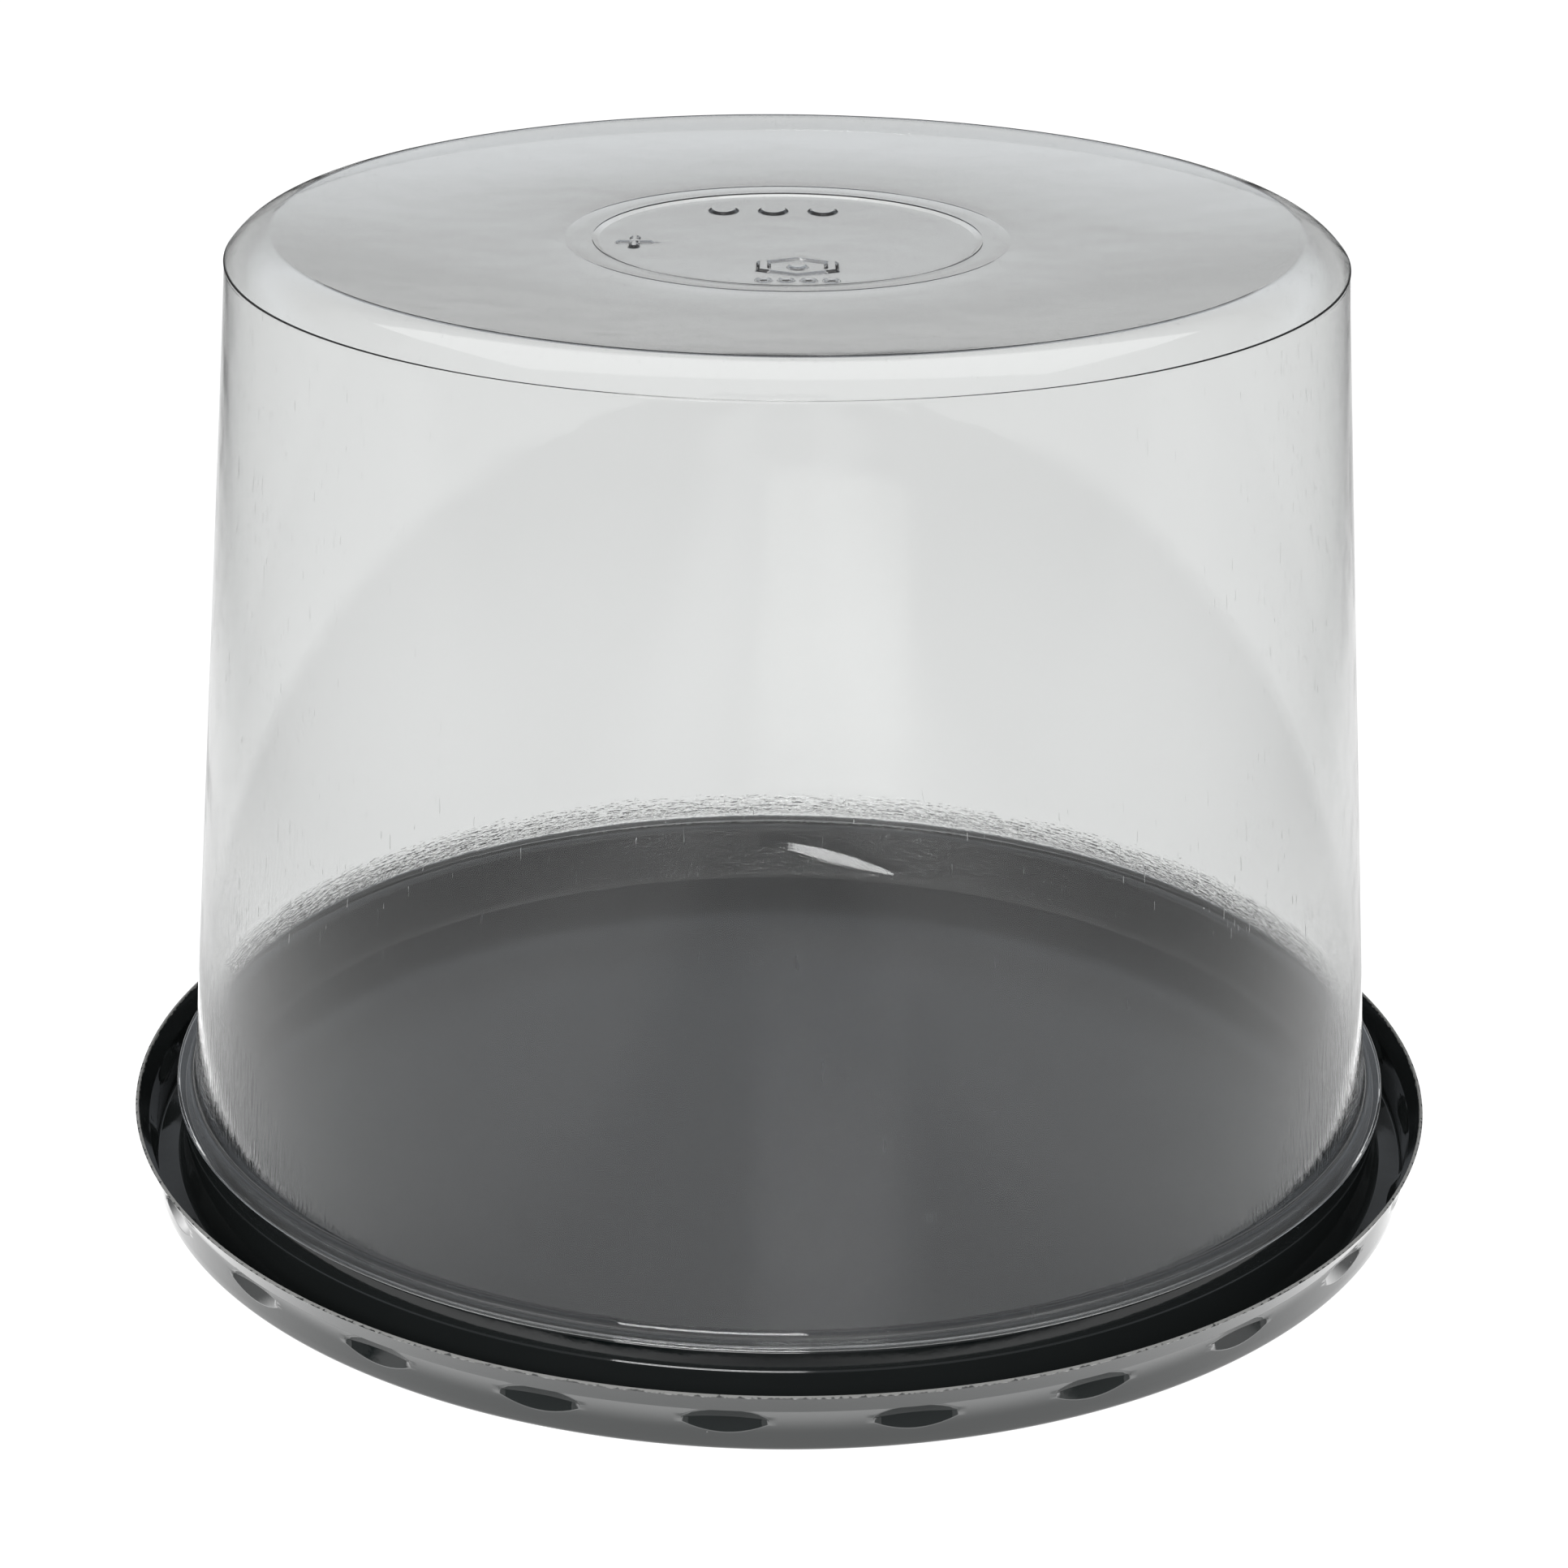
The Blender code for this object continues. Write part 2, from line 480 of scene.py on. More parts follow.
    def bump(self, height: object, distance: float, strength: float = 1.0, below: object = None) -> Socket:
        """A Bump node.

        Args:
            height: The height socket.
            distance: Height of the bumps, in metres.
            strength: How much of them shows.
            below: A normal to add them to.

        Returns:
            The normal.
        """
        node = self.node("Bump", Height=height, Distance=distance, Strength=strength)
        if below:
            self.feed(node, "Normal", below)
        return node.outputs["Normal"]


@dataclass(frozen=True)
class ClearSheet:
    """Clear thermoformed sheet: glossy, faintly wavy, rippled at the wall's foot, with scuffs and specks.

    Args:
        tint: Colour that the light takes in passing.
        gloss: Roughness of the clean sheet.
        scuffed: Roughness that a scuff or a speck adds.
        refraction: Index of refraction.
        clarity: Share of the surface that is clear; the rest is haze.
        draw_rise: Height of the draw lines on the low part of the wall, in metres.
        ripple_rise: Height of the ripple at the wall's foot, in metres.
        wave_rise: Height of the waves all over the sheet, in metres.
        mark_rise: Height of the scuffs and specks, in metres.
    """

    tint: Triple = (0.955, 0.962, 0.958)
    gloss: float = 0.012
    scuffed: float = 0.12
    refraction: float = 1.47
    clarity: float = 0.992
    draw_rise: float = 0.00005
    ripple_rise: float = 0.0007
    wave_rise: float = 0.0001
    mark_rise: float = 0.00001

    def material(self, name: str, foot: float) -> Material:
        """Makes the finish.

        Args:
            name: The material's name.
            foot: Height of the wall's foot, in metres.

        Returns:
            The material.
        """
        paint = Palette.of_material(name)
        angle, _, height = paint.round_place()
        scuffs = paint.scratches(2400.0, (1.0, 1.0, 0.07), 0.5, 0.025)
        specks = paint.specks(420.0, 0.10, 0.02)
        marks = paint.maths("MAXIMUM", scuffs, specks)
        haze = paint.ramp(paint.noise(9.0, 3.0), 0.35, 0.75, (0.0, 0.02))
        rough = paint.maths("ADD", paint.maths("MULTIPLY_ADD", marks, self.scuffed, self.gloss), haze)
        draw = paint.round_noise(angle, height, 150.0, 160.0)
        start = paint.ramp(height, foot + 0.0012, foot + 0.003)
        low = paint.times(start, paint.ramp(height, foot + 0.012, foot + 0.040, (1.0, 0.0)))
        normal = paint.bump(paint.times(draw, low), self.draw_rise)
        ripple = paint.round_noise(angle, height, 42.0, 1700.0)
        lowest = paint.times(start, paint.ramp(height, foot + 0.003, foot + 0.010, (1.0, 0.0)))
        lowest = paint.times(lowest, paint.ramp(paint.maths("SINE", angle), -0.45, 0.1))
        normal = paint.bump(paint.times(ripple, lowest), self.ripple_rise, below=normal)
        normal = paint.bump(paint.noise(38.0, 2.0), self.wave_rise, below=normal)
        normal = paint.bump(marks, self.mark_rise, below=normal)
        return paint.dressed(
            Base_Color=(*self.tint, 1.0),
            Roughness=rough,
            IOR=self.refraction,
            Transmission_Weight=self.clarity,
            Normal=normal,
        )


@dataclass(frozen=True)
class BlackSheet:
    """Black thermoformed sheet: glossy walls, a satin floor, a pale trimmed edge, scratches and dust.

    Args:
        colour: The sheet's own colour.
        bloom: Its colour on the satin floor.
        dust: Colour of the specks on it and of its trimmed edge.
        gloss: Roughness of the walls.
        satin: Roughness of the floor.
        refraction: Index of refraction.
        wave_rise: Height of the waves all over the sheet, in metres.
        grain_rise: Height of the fine grain and of the scratches, in metres.
        weave_rise: Height of the weave on the seat's inner wall, in metres.
    """

    colour: Triple = (0.014, 0.016, 0.016)
    bloom: Triple = (0.012, 0.015, 0.018)
    dust: Triple = (0.30, 0.30, 0.29)
    gloss: float = 0.06
    satin: float = 0.22
    refraction: float = 1.58
    wave_rise: float = 0.00008
    grain_rise: float = 0.000006
    weave_rise: float = 0.0004

    def in_fold(self, paint: Palette, height: Socket, fold: tuple[Vector, Vector]) -> Socket:
        """1 in the smooth fold in the back of the seat's inner wall, and 0 elsewhere."""
        across, along, _ = paint.node("SeparateXYZ", Vector=paint.place()).outputs
        left, right = (end * MM for end in fold)
        slope = (right.y - left.y) / (right.x - left.x)
        line = paint.maths("MULTIPLY_ADD", across, slope, left.y - slope * left.x)
        off_line = paint.maths("ABSOLUTE", paint.maths("SUBTRACT", height, line))
        smooth = paint.ramp(off_line, 0.0012, 0.0018, (1.0, 0.0))
        smooth = paint.times(smooth, paint.maths("GREATER_THAN", along, 0.0))
        smooth = paint.times(smooth, paint.ramp(across, left.x, left.x + 0.001))
        ending = paint.ramp(across, right.x - 0.002, right.x, (1.0, 0.0))
        return paint.times(smooth, ending)

    def material(self, name: str, floor_radius: float, lip: Corner, fold: tuple[Vector, Vector]) -> Material:
        """Makes the finish.

        Args:
            name: The material's name.
            floor_radius: Radius of the satin floor, in metres.
            lip: The lip's outer corner, in millimetres.
            fold: Ends of the fold in the seat's inner wall, (X, height) in millimetres.

        Returns:
            The material.
        """
        paint = Palette.of_material(name)
        angle, radius, height = paint.round_place()
        at_lip = paint.ramp(radius, (lip.radius - 1.4) * MM, (lip.radius - 1.2) * MM)
        above = paint.maths("MULTIPLY_ADD", paint.noise(900.0, 3.0), 0.9 * MM, height)
        high = paint.ramp(above, (lip.height + 0.12) * MM, (lip.height + 0.28) * MM)
        cut = paint.times(at_lip, high)
        on_floor = paint.ramp(radius, floor_radius - 0.002, floor_radius, (1.0, 0.0))
        dust = paint.specks(520.0, 0.09, 0.012)
        scratches = paint.scratches(700.0, (1.0, 0.04, 1.0), 0.35, 0.02)
        scratches = paint.times(scratches, on_floor)
        own = paint.mixed(on_floor, (*self.colour, 1.0), (*self.bloom, 1.0))
        pale = paint.maths("MAXIMUM", paint.times(dust, 0.8), paint.times(cut, 0.7))
        mottle = paint.ramp(paint.noise(24.0, 4.0), 0.3, 0.7, (-0.015, 0.025))
        base = paint.maths("MULTIPLY_ADD", on_floor, self.satin - self.gloss, self.gloss)
        rough = paint.maths("ADD", base, mottle)
        rough = paint.maths("MULTIPLY_ADD", paint.maths("MAXIMUM", dust, scratches), 0.2, rough)
        rough = paint.maths("MULTIPLY_ADD", cut, 0.4, rough)
        normal = paint.bump(paint.noise(45.0, 2.0), self.wave_rise)
        normal = paint.bump(paint.noise(700.0, 2.0), self.grain_rise, below=normal)
        normal = paint.bump(scratches, self.grain_rise, 0.6, below=normal)
        inwards = paint.ramp(radius, floor_radius + 0.0022, floor_radius + 0.0028, (1.0, 0.0))
        drawn = paint.times(inwards, paint.ramp(radius, floor_radius - 0.001, floor_radius))
        off_fold = paint.maths("SUBTRACT", 1.0, self.in_fold(paint, height, fold))
        drawn = paint.times(drawn, off_fold)
        weave = paint.round_noise(angle, height, 170.0, 1400.0)
        normal = paint.bump(paint.times(weave, drawn), self.weave_rise, below=normal)
        colour = paint.mixed(pale, own, (*self.dust, 1.0))
        return paint.dressed(Base_Color=colour, Roughness=rough, IOR=self.refraction, Normal=normal)


# ------------------------------------------------------------------ pieces


@dataclass
class Piece:
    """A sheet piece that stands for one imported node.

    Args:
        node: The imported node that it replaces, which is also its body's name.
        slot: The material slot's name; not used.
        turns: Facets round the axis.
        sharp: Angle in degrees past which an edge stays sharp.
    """

    node: str
    slot: str
    turns: int = 10
    sharp: float = 40.0

    def box(self) -> tuple[Vector, Vector]:
        """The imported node's lowest and highest corners, in millimetres."""
        low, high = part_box(self.node)
        return Vector(low) / MM, Vector(high) / MM

    def finish(self, shape: Shape, material: Material) -> Object:
        """Makes the object, dresses it and puts it on its body.

        Args:
            shape: The finished shape, which is freed.
            material: Its finish.

        Returns:
            The object.
        """
        name = f"{self.node}_sheet"
        mesh = bpy.data.meshes.new(name)
        shape.to_mesh(mesh)
        shape.free()
        mesh.shade_smooth()
        mesh.set_sharp_from_angle(angle=math.radians(self.sharp))
        mesh.materials.append(material)
        piece = bpy.data.objects.new(name, mesh)
        bpy.context.scene.collection.objects.link(piece)
        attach(piece, self.node)
        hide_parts(self.node)
        LOG.info("%s: %d faces, standing for %s", name, len(mesh.polygons), self.node)
        return piece


class Emboss(Enum):
    """Outlines pressed into the recess of the dome's top."""

    HEXAGON = "hexagon"
    CROSS = "cross"
    DOT = "dot"


@dataclass(frozen=True)
class Mark:
    """One raised outline on the recess's floor, in millimetres.

    Args:
        shape: Its outline.
        across: Place along X.
        along: Place along Y.
        width: Its half width.
        height: Its half height.
        stroke: Half the width of its line.
    """

    shape: Emboss
    across: float
    along: float
    width: float
    height: float
    stroke: float = 0.75

    def distance(self, x: float, y: float) -> float:
        """How far a point is from the middle of the mark's line, about right in millimetres."""
        u = (x - self.across) / self.width
        v = (y - self.along) / self.height
        scale = min(self.width, self.height)
        if self.shape is Emboss.HEXAGON:
            return abs(max(abs(u), abs(u) / 2 + abs(v) * 0.866) - 0.93) * scale
        if self.shape is Emboss.CROSS:
            arm = min(max(abs(u), abs(v)), 1.0)
            return math.hypot(min(abs(u), abs(v)), max(abs(u), abs(v)) - arm) * scale
        return max(0.0, math.hypot(u, v) - 0.6) * scale

    def holds(self, x: float, y: float, margin: float) -> bool:
        """Whether a point is within a margin of the mark's box."""
        return abs(x - self.across) < self.width + margin and abs(y - self.along) < self.height + margin


@dataclass
class Dome(Piece):
    """The clear dome: dished top with a recess, shoulder, mould line, drafted wall and flange.

    Lengths are in millimetres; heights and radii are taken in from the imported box.
    """

    node: str = "dome"
    slot: str = "clear_sheet"
    finish_kind: ClearSheet = ClearSheet()
    sheet: float = 0.5
    crown_inset: float = 24.5
    mould_inset: float = 16.35
    mould_drop: float = 5.2
    shoulder_bulge: float = 0.9
    dish_radius: float = 40.1
    dish_drop: float = 3.2
    dish_power: float = 2.2
    recess_radius: float = 34.0
    recess_step: float = 1.1
    recess_depth: float = 0.45
    wall_foot_inset: float = 3.4
    foot_fillet: float = 1.6
    flange_rise: float = 0.75
    flange_turn: float = 0.85
    mark_rise: float = 0.32

    MARKS = (
        Mark(Emboss.DOT, -11.9, 22.4, 3.2, 4.8, 0.5),
        Mark(Emboss.DOT, -2.7, 22.4, 3.2, 4.8, 0.5),
        Mark(Emboss.DOT, 6.5, 22.4, 3.2, 4.8, 0.5),
        Mark(Emboss.CROSS, -27.4, -3.2, 2.5, 3.6, 0.6),
        Mark(Emboss.HEXAGON, 1.8, -20.4, 6.4, 5.4),
        Mark(Emboss.DOT, 1.8, -20.4, 1.6, 2.2, 0.6),
        *(Mark(Emboss.DOT, 1.8 + 3.9 * i, -29.8, 1.1, 1.5, 0.5) for i in (-1.5, -0.5, 0.5, 1.5)),
    )

    def __post_init__(self) -> None:
        """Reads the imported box."""
        low, high = self.box()
        self.flange_radius = high.x
        self.flange_bottom = low.z
        self.crown_height = high.z
        self.mould_radius = self.flange_radius - self.mould_inset
        self.mould_height = self.crown_height - self.mould_drop
        self.rim_height = self.crown_height - self.dish_drop
        self.edge_height = self.flange_bottom + self.sheet
        self.foot_radius = self.flange_radius - self.wall_foot_inset
        self.foot_height = self.edge_height + self.flange_rise

    def top(self) -> list[Corner]:
        """Corners of the outer skin from the axis to the crown."""
        floor = self.rim_height - self.recess_depth
        corners = [
            Corner(0, floor),
            Corner(self.recess_radius, floor, 0.5, 4),
            Corner(self.recess_radius + self.recess_step, self.rim_height, 0.7, 4),
            Corner(self.dish_radius - 1.6, self.rim_height + 0.02),
            Corner(self.dish_radius, self.rim_height + 0.16, 3.0, 4),
        ]
        crown = self.flange_radius - self.crown_inset
        for step in range(1, 15):
            along = step / 15
            rise = self.dish_drop * along**self.dish_power
            radius = self.dish_radius + (crown - self.dish_radius) * along
            corners.append(Corner(radius, self.rim_height + 0.1 * (1 - along) + rise * 0.98))
        return corners

    def shoulder(self) -> list[Corner]:
        """Corners of the outer skin from the crown to just above the mould line."""
        start = Vector((self.flange_radius - self.crown_inset, self.crown_height - 0.05))
        end = Vector((self.mould_radius - 0.25, self.mould_height + 0.55))
        outwards = Vector((start.y - end.y, end.x - start.x)).normalized()
        corners = []
        for step in range(9):
            along = step / 8
            place = start.lerp(end, along) + outwards * self.shoulder_bulge * 4 * along * (1 - along)
            corners.append(Corner(place.x, place.y, 0.0 if step else 3.0, 6))
        return corners

    def wall(self) -> list[Corner]:
        """Corners of the outer skin from the mould line to the trimmed edge of the flange."""
        return [
            Corner(self.mould_radius + 0.14, self.mould_height + 0.1, 0.25, 3),
            Corner(self.mould_radius - 0.06, self.mould_height - 0.25, 0.25, 2),
            Corner(self.mould_radius + 0.02, self.mould_height - 0.6, 0.3, 2),
            Corner(self.foot_radius, self.foot_height, self.foot_fillet, 8),
            Corner(self.flange_radius - 0.12, self.foot_height, self.flange_turn, 5),
            Corner(self.flange_radius, self.edge_height),
        ]

    def section(self) -> list[Vector]:
        """The closed section: outer skin from the axis to the edge, then the inner skin back."""
        corners = self.top() + self.shoulder() + self.wall()
        outer = rounded(corners)
        inner = rounded(second_skin(corners, self.sheet))
        return spaced(outer, 2.5) + spaced(inner, 2.5)[::-1]

    def relief(self, x: float, y: float) -> float:
        """Height of the marks above the recess's floor at a place, in millimetres."""
        rise = 0.0
        for mark in self.MARKS:
            if mark.holds(x, y, 1.6):
                gap = mark.distance(x, y) - mark.stroke
                rise = max(rise, 1 - smooth_step(-0.35, 0.45, gap))
        return rise * self.mark_rise

    def emboss(self, shape: Shape) -> None:
        """Raises the marks on the outer skin of the recess's floor.

        Args:
            shape: The dome.
        """
        floor = (self.rim_height - self.recess_depth) * MM

        def marked(face: bmesh.types.BMFace) -> bool:
            """Whether a face of the outer skin lies under a mark."""
            middle = face.calc_center_median()
            near = any(mark.holds(middle.x / MM, middle.y / MM, 1.8) for mark in self.MARKS)
            return near and all(abs(vert.co.z - floor) < WELD for vert in face.verts)

        for _ in range(2):
            faces = [face for face in shape.faces if marked(face) and len(face.verts) == 4]
            edges = long_edges(faces, 0.32)
            bmesh.ops.subdivide_edges(shape, edges=edges, cuts=2, use_grid_fill=True)
        for vert in shape.verts:
            if abs(vert.co.z - floor) < WELD:
                vert.co.z += self.relief(vert.co.x / MM, vert.co.y / MM) * MM

    def drift(self, angle: float, radius: float, height: float) -> tuple[float, float]:
        """Gentle unevenness of the drawn sheet, the same on both skins and none at its edges."""
        share = (height - self.foot_height) / (self.mould_height - self.foot_height)
        on_wall = smooth_step(0.02, 0.08, share) * (1 - smooth_step(0.94, 1.0, share))
        seed = Vector((math.cos(angle) * 1.6, math.sin(angle) * 1.6, height * 0.012))
        wave = 0.16 * on_wall * (noise.noise(seed) - 1) / 2
        return radius + wave, height

    def build(self) -> Object:
        """Builds, dresses and places the dome."""
        shape = turned(self.section(), self.turns)
        repeated(shape)
        self.emboss(shape)
        moved_round(shape, self.drift)
        bmesh.ops.recalc_face_normals(shape, faces=shape.faces)
        material = self.finish_kind.material("clear_sheet_glossy", self.foot_height * MM)
        return self.finish(shape, material)


@dataclass(frozen=True)
class Lugs:
    """The lens-shaped dents in the tray's outer wall, cut by a ring of V-edged discs.

    Lengths are in millimetres and angles in radians.
    """

    count: int = 24
    first: float = math.radians(11)
    tip_radius: float = 121.68
    tip_height: float = 6.4
    disc_radius: float = 40.0
    slope_below: float = 0.33
    slope_above: float = 0.62
    half_width: float = math.radians(3.28)
    end_width: float = math.radians(0.14)

    def azimuth(self, angle: float) -> float:
        """Angle from the middle of the nearest lug."""
        pitch = math.tau / self.count
        return (angle - self.first + pitch / 2) % pitch - pitch / 2

    def disc(self, height: float, grow: float) -> float:
        """The disc's radius at a height, grown by the sheet for the inner skin."""
        rise = height - self.tip_height
        slope = self.slope_above if rise > 0 else self.slope_below
        return self.disc_radius + grow - slope * abs(rise)

    def depth(self, angle: float, radius: float, height: float, grow: float) -> float:
        """How far a wall point lies inside the disc; negative outside it."""
        centre = self.tip_radius + self.disc_radius
        away = self.azimuth(angle)
        apart = math.sqrt(radius**2 + centre**2 - 2 * radius * centre * math.cos(away))
        return self.disc(height, grow) - apart

    def edge_reach(self, angle: float, wall: Callable[[float], float], grow: float, up: int) -> float:
        """Height from the tip to the lens's upper (1) or lower (-1) edge, 0 where there is no lens."""
        slope = self.slope_above if up > 0 else self.slope_below
        reach = 0.0
        for _ in range(12):
            spare = self.depth(angle, wall(self.tip_height + up * reach), self.tip_height, grow)
            reach = max(0.0, spare) / slope
        return reach

    def crowded(self, away: float) -> float:
        """Moves an evenly spaced column so that two of them stand at each end of a lug."""
        pitch = math.tau / self.count
        even = (0.0, pitch * 5 / 24, pitch * 6 / 24, pitch / 2)
        wanted = (0.0, self.half_width, self.half_width + self.end_width, pitch / 2)
        for i in range(3):
            if abs(away) <= even[i + 1] + WELD:
                share = (abs(away) - even[i]) / (even[i + 1] - even[i])
                return math.copysign(wanted[i] + (wanted[i + 1] - wanted[i]) * share, away)
        return away

    def surface(self, angle: float, height: float, grow: float) -> float:
        """The disc's distance from the tray's axis at an angle and a height, inside a lug's ends."""
        if abs(self.azimuth(angle)) > self.half_width + self.end_width / 2:
            return math.inf
        centre = self.tip_radius + self.disc_radius
        away = self.azimuth(angle)
        square = self.disc(height, grow) ** 2 - (centre * math.sin(away)) ** 2
        return centre * math.cos(away) - math.sqrt(square) if square > 0 else math.inf


@dataclass
class Tray(Piece):
    """The black tray: satin floor, seat ring, moat and the outer wall with its lip and lugs.

    Lengths are in millimetres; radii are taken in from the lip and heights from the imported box.
    """

    node: str = "tray"
    slot: str = "black_sheet"
    turns: int = 24
    finish_kind: BlackSheet = BlackSheet()
    lugs: Lugs = Lugs()
    sheet: float = 0.6
    lip_drop: float = 3.1
    crease_inset: float = 2.4
    crease_height: float = 8.6
    wall_foot_inset: float = 3.5
    moat_inset: float = 8.6
    moat_fillet: float = 1.2
    seat_outer_inset: float = 9.7
    seat_inner_inset: float = 12.5
    seat_fillet: float = 0.7
    floor_inset: float = 14.8
    floor_height: float = 4.6
    floor_fillet: float = 1.5

    fold_half_width: float = 1.3
    fold_tilt: float = math.radians(15)
    fold_foot: float = 0.9
    fold_fade: float = 3.0

    lens_least: float = 0.22
    lens_clear: float = 0.12
    lens_near: float = math.radians(3.5)
    lens_far: float = math.radians(6.0)

    FOLD_ENDS = (Vector((-5.0, 12.6)), Vector((27.0, 6.0)))
    LENS_LOW = 4.9
    LENS_HIGH = 7.6
    LENS_ROWS = (
        *(2.6, 3.3, 4.0, 4.5, 4.78, 4.9, 5.02, 5.5, 5.9, 6.25),
        *(6.4, 6.55, 6.9, 7.4, 7.5, 7.6, 7.7, 8.0, 8.3),
    )

    def __post_init__(self) -> None:
        """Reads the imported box."""
        _, high = self.box()
        self.lip_radius = high.x
        self.seat_height = high.z
        self.lip_height = self.seat_height - self.lip_drop
        self.floor_radius = self.lip_radius - self.floor_inset

    def corners(self) -> list[Corner]:
        """Corners of the upper skin, from the axis to the trimmed edge of the lip."""
        lip = self.lip_radius
        seat_outer = lip - self.seat_outer_inset
        moat_inner = lip - self.moat_inset
        return [
            Corner(0, self.floor_height),
            Corner(self.floor_radius, self.floor_height, self.floor_fillet, 7),
            Corner(lip - self.seat_inner_inset, self.seat_height, self.seat_fillet, 5),
            Corner(seat_outer, self.seat_height, self.seat_fillet, 5),
            Corner(seat_outer + 0.7, self.seat_height - 3.4, 0.4, 3),
            Corner(seat_outer + 0.9, self.seat_height - 3.65, 0.4, 3),
            Corner(moat_inner, self.sheet, self.moat_fillet, 6),
            Corner(lip - self.wall_foot_inset, self.sheet, 0.5, 4),
            Corner(lip - self.crease_inset, self.crease_height, 0.6, 3),
            Corner(lip - self.sheet * 0.945, self.lip_height),
        ]

    def wall(self, inner: bool) -> Callable[[float], float]:
        """The wall's radius by height, between its foot and its crease."""
        foot = self.lip_radius - self.wall_foot_inset
        run = (self.wall_foot_inset - self.crease_inset) / (self.crease_height - self.sheet)
        shift = 0.0 if inner else self.sheet * math.hypot(1, run)
        return lambda height: foot + shift + run * (height - self.sheet)

    def with_rows(self, section: list[Vector], inner: bool) -> list[Vector]:
        """Puts the lens rows into a skin's wall, given the skin from the axis outwards."""
        wall = self.wall(inner)
        rows = [Vector((wall(height), height)) for height in self.LENS_ROWS]
        on_wall = [
            i
            for i, point in enumerate(section)
            if abs(point.x - wall(point.y)) < 0.02 and point.y < self.LENS_ROWS[0]
        ]
        split = max(on_wall) + 1
        return section[:split] + rows + section[split:]

    def section(self) -> list[Vector]:
        """The closed section: upper skin from the axis to the lip, then the underside back."""
        corners = self.corners()
        upper = self.with_rows(rounded(corners), True)
        lower = self.with_rows(rounded(second_skin(corners, self.sheet)), False)
        return spaced(upper, 9.0) + spaced(lower, 9.0)[::-1]

    def lens(self, angle: float, radius: float, height: float) -> tuple[float, float]:
        """Slides the wall's rows onto a lug's edges and presses the lug in."""
        rows = self.LENS_ROWS
        if radius < self.wall(True)(rows[0]) - 1 or not rows[0] < height < rows[-1] + 0.02:
            return radius, height
        inner = radius < (self.wall(True)(height) + self.wall(False)(height)) / 2
        wall = self.wall(inner)
        grow = self.sheet if inner else 0.0
        lugs = self.lugs
        tip = lugs.tip_height
        away = lugs.azimuth(angle)
        near = 1 - smooth_step(self.lens_near, self.lens_far, abs(away))
        inside = lugs.first + min(max(away, -lugs.half_width), lugs.half_width)
        low = tip - max(self.lens_least, lugs.edge_reach(inside, wall, grow, -1))
        high = tip + max(self.lens_least, lugs.edge_reach(inside, wall, grow, 1))
        high = min(high, self.crease_height - self.lens_clear)
        low = self.LENS_LOW + (low - self.LENS_LOW) * near
        high = self.LENS_HIGH + (high - self.LENS_HIGH) * near
        old = (rows[0], self.LENS_LOW, tip, self.LENS_HIGH, self.crease_height)
        new = (rows[0], low, tip, high, self.crease_height)
        for i in range(4):
            if old[i] <= height <= old[i + 1]:
                share = (height - old[i]) / (old[i + 1] - old[i])
                height = new[i] + (new[i + 1] - new[i]) * share
                break
        return min(wall(height), lugs.surface(angle, height, grow)), height

    def pull(self, x: float, height: float) -> float:
        """How far the fold moves the back of the seat's inner wall outwards, 0 away from the fold."""
        left, right = self.FOLD_ENDS
        along = (x - left.x) / (right.x - left.x)
        if not 0 < along < 1:
            return 0.0
        rise = height - (left.y + (right.y - left.y) * along)
        half = self.fold_half_width * math.sin(math.pi * along) ** 0.7
        edge = half * math.tan(self.fold_tilt)
        if rise < -half:
            return -edge * (1 - smooth_step(0, self.fold_foot, -half - rise))
        if rise > half:
            return edge * (1 - smooth_step(0, self.fold_fade, rise - half))
        return rise * math.tan(self.fold_tilt)

    def fold(self, shape: Shape) -> None:
        """Pulls a slanted fold into the back of the tray's seat, on its inner wall."""
        left, right = (end.x for end in self.FOLD_ENDS)

        def held(vert: bmesh.types.BMVert) -> bool:
            """Whether a vertex is on the upper skin of the wall, near the fold."""
            x, y, z = vert.co / MM
            if y < 0 or not left - 1.5 < x < right + 1.5 or not self.floor_height < z < self.seat_height:
                return False
            share = (z - self.floor_height) / (self.seat_height - self.floor_height)
            skin = self.floor_radius + (self.floor_inset - self.seat_inner_inset) * share
            return -0.9 < math.hypot(x, y) - skin < 0.3

        for _ in range(2):
            faces = [face for face in shape.faces if all(held(vert) for vert in face.verts)]
            edges = long_edges(faces, 0.5)
            bmesh.ops.subdivide_edges(shape, edges=edges, cuts=3, use_grid_fill=True)
        for vert in shape.verts:
            if held(vert):
                x, y, z = vert.co / MM
                scale = 1 + self.pull(x, z) / math.hypot(x, y)
                vert.co.x *= scale
                vert.co.y *= scale

    def build(self) -> Object:
        """Builds, dresses and places the tray."""
        half_pitch = math.pi / self.lugs.count
        shape = turned(self.section(), self.turns, self.lugs.first - half_pitch)
        for vert in shape.verts:
            away = self.lugs.azimuth(math.atan2(vert.co.y, vert.co.x))
            turn = Matrix.Rotation(self.lugs.crowded(away) - away, 3, "Z")
            if math.hypot(vert.co.x, vert.co.y) > WELD:
                vert.co = turn @ vert.co
        moved_round(shape, self.lens)
        repeated(shape)
        self.fold(shape)
        lip = Corner(self.lip_radius, self.lip_height)
        material = self.finish_kind.material(
            "black_sheet_glossy", self.floor_radius * MM, lip, self.FOLD_ENDS
        )
        return self.finish(shape, material)


# ------------------------------------------------------------------ studio


